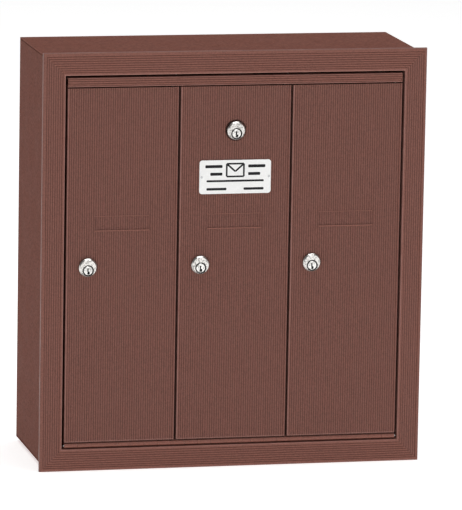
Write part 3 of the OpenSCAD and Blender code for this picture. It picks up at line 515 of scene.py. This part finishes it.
def outline(points, radius, steps=4):
    """The corners of a polygon, each rounded by radius."""
    out = []
    for i, p in enumerate(points):
        p = Vector(p)
        before = (Vector(points[i - 1]) - p).normalized()
        after = (Vector(points[(i + 1) % len(points)]) - p).normalized()
        for k in range(steps + 1):
            t = k / steps
            out.append(p + before * radius * (1 - t) ** 2 + after * radius * t**2)
    return out


def slab(mesh, points, centre_x, centre_z, front, back):
    """Adds a thin slab with the given outline in (x, z), from depth front to depth back."""
    rings = [[mesh.verts.new((centre_x + p.x, y, centre_z + p.y)) for p in points] for y in (front, back)]
    mesh.faces.new(rings[0])
    mesh.faces.new(reversed(rings[1]))
    for i in range(len(points)):
        j = (i + 1) % len(points)
        mesh.faces.new((rings[0][j], rings[0][i], rings[1][i], rings[1][j]))


def bar(x0, z0, x1, z1, width):
    """Outline of a straight bar with rounded ends."""
    a, b = Vector((x0, z0)), Vector((x1, z1))
    side = (b - a).normalized().orthogonal() * width / 2
    return outline([a + side, b + side, b - side, a - side], width * 0.35)


def envelope(width, height, middle_z, fold_z, line):
    """Bars that draw an envelope with its flap down to fold_z."""
    right, top, bottom = width / 2, middle_z + height / 2, middle_z - height / 2
    return [
        bar(-right, top, right, top, line),
        bar(-right, bottom, right, bottom, line),
        bar(-right, bottom, -right, top, line),
        bar(right, bottom, right, top, line),
        bar(-right, top, 0, fold_z, line),
        bar(0, fold_z, right, top, line),
    ]


def ruled_bars(w, h, middle_z, height):
    """Bars beside the envelope and under it, on a plate w wide and h high."""
    bars = []
    for side in (-1, 1):
        for row, length in enumerate((0.24, 0.17)):
            z = middle_z + (0.5 - row) * height * 0.6
            bars.append(bar(side * 0.18 * w, z, side * (0.18 + length) * w, z, 3.6 * MM))
        bars.append(bar(side * 0.40 * w, -0.36 * h, side * 0.12 * w, -0.36 * h, 3.0 * MM))
    bars.append(bar(-0.40 * w, -0.12 * h, 0.40 * w, -0.12 * h, 2.4 * MM))
    return bars


def artwork():
    """An envelope pictogram between ruled bars, as a thin printed layer on the plate."""
    low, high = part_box("mail_plate")
    x, z = middle(low, high)
    w, h = high.x - low.x, high.z - low.z
    height, middle_z = 0.38 * h, 0.20 * h
    front, back = low.y - 0.06 * MM, low.y + 0.10 * MM
    shapes = envelope(0.24 * w, height, middle_z, middle_z - 0.04 * h, 2.1 * MM)
    shapes += ruled_bars(w, h, middle_z, height)
    mesh = bmesh.new()
    for k, points in enumerate(shapes):
        # Each bar lies at its own depth, so that no two that cross share a plane.
        lift = 0.003 * MM * k
        slab(mesh, points, x, z, front - lift, back)
    data = bpy.data.meshes.new("plate_artwork")
    mesh.normal_update()
    mesh.to_mesh(data)
    mesh.free()
    piece = bpy.data.objects.new("plate_artwork", data)
    bpy.context.scene.collection.objects.link(piece)
    piece.data.materials.append(enamel("plate_ink", INK, roughness=0.45, specular=0.15))
    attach(piece, "tenant_door_2")


artwork()


# ---------------------------------------------------------------- floor, light and camera


def floor():
    """A wide pale floor that glows faintly, as a light table does, so that it stays white far away."""
    half, z = 40, cad_low.z
    corners = [(-half, -half, z), (half, -half, z), (half, half, z), (-half, half, z)]
    data = bpy.data.meshes.new("floor")
    data.from_pydata(corners, [], [(0, 1, 2, 3)])
    piece = bpy.data.objects.new("floor", data)
    bpy.context.scene.collection.objects.link(piece)
    s = Shader("pale_floor")
    s.set(Base_Color=s.mix(s.noise(3, 2), tint(WHITE, 0.90), tint(WHITE, 0.92)), Roughness=0.9,
          Specular_IOR_Level=0.0, Emission_Color=WHITE, Emission_Strength=0.60)
    piece.data.materials.append(s.material)


def softbox(name, where, size, power, colour=WHITE):
    data = bpy.data.lights.new(name, "AREA")
    data.shape = "SQUARE"
    data.size = size
    data.energy = power
    data.color = colour
    lamp = bpy.data.objects.new(name, data)
    lamp.location = where
    lamp.rotation_euler = (centre - Vector(where)).to_track_quat("-Z", "Y").to_euler()
    bpy.context.scene.collection.objects.link(lamp)


def studio():
    """A room that is white near the horizon and dim above, with large softboxes, so that flat faces keep
    their colour."""
    world = bpy.data.worlds.new("studio")
    world.use_nodes = True
    tree = world.node_tree
    back = tree.nodes["Background"]
    place = tree.nodes.new("ShaderNodeTexCoord")
    parts = tree.nodes.new("ShaderNodeSeparateXYZ")
    ramp = tree.nodes.new("ShaderNodeMapRange")
    tree.links.new(place.outputs["Generated"], parts.inputs[0])
    tree.links.new(parts.outputs["Z"], ramp.inputs["Value"])
    tree.links.new(ramp.outputs[0], back.inputs["Strength"])
    for name, value in (("From Min", 0.09), ("From Max", 0.30), ("To Min", 0.98), ("To Max", 0.19)):
        ramp.inputs[name].default_value = value
    back.inputs["Color"].default_value = (*WHITE, 1)
    bpy.context.scene.world = world
    softbox("overhead", (0.3, -0.1, 4.6), size=4.0, power=138)
    softbox("key", (-1.2, -4.3, 1.0), size=1.8, power=24, colour=(1.0, 0.99, 0.97))
    softbox("fill", (3.3, -3.4, 0.4), size=2.2, power=20, colour=(0.98, 0.99, 1.0))


def camera(azimuth, elevation, roll, distance, focal, aim):
    """A camera aimed at a point from two angles in degrees; focal is in heights of the picture."""
    a, e, r = (math.radians(x) for x in (azimuth, elevation, roll))
    back = Vector((math.sin(a) * math.cos(e), -math.cos(a) * math.cos(e), math.sin(e)))
    right = Vector((0, 0, 1)).cross(back).normalized()
    up = back.cross(right)
    turned_right = right * math.cos(r) + up * math.sin(r)
    turned_up = up * math.cos(r) - right * math.sin(r)
    data = bpy.data.cameras.new("camera")
    data.sensor_width = 36
    data.lens = data.sensor_width * focal
    data.clip_start = 0.1
    data.clip_end = 200
    eye = bpy.data.objects.new("camera", data)
    turn = Matrix((turned_right, turned_up, back)).transposed()
    eye.matrix_world = Matrix.Translation(aim + back * distance) @ turn.to_4x4()
    bpy.context.scene.collection.objects.link(eye)
    bpy.context.scene.camera = eye


floor()
studio()
camera(azimuth=-13, elevation=10.3, roll=1.0, distance=6.4, focal=5180 / 510,
       aim=centre + Vector((17.2 * MM, 0, -10.4 * MM)))
bpy.context.scene.view_settings.view_transform = "Standard"
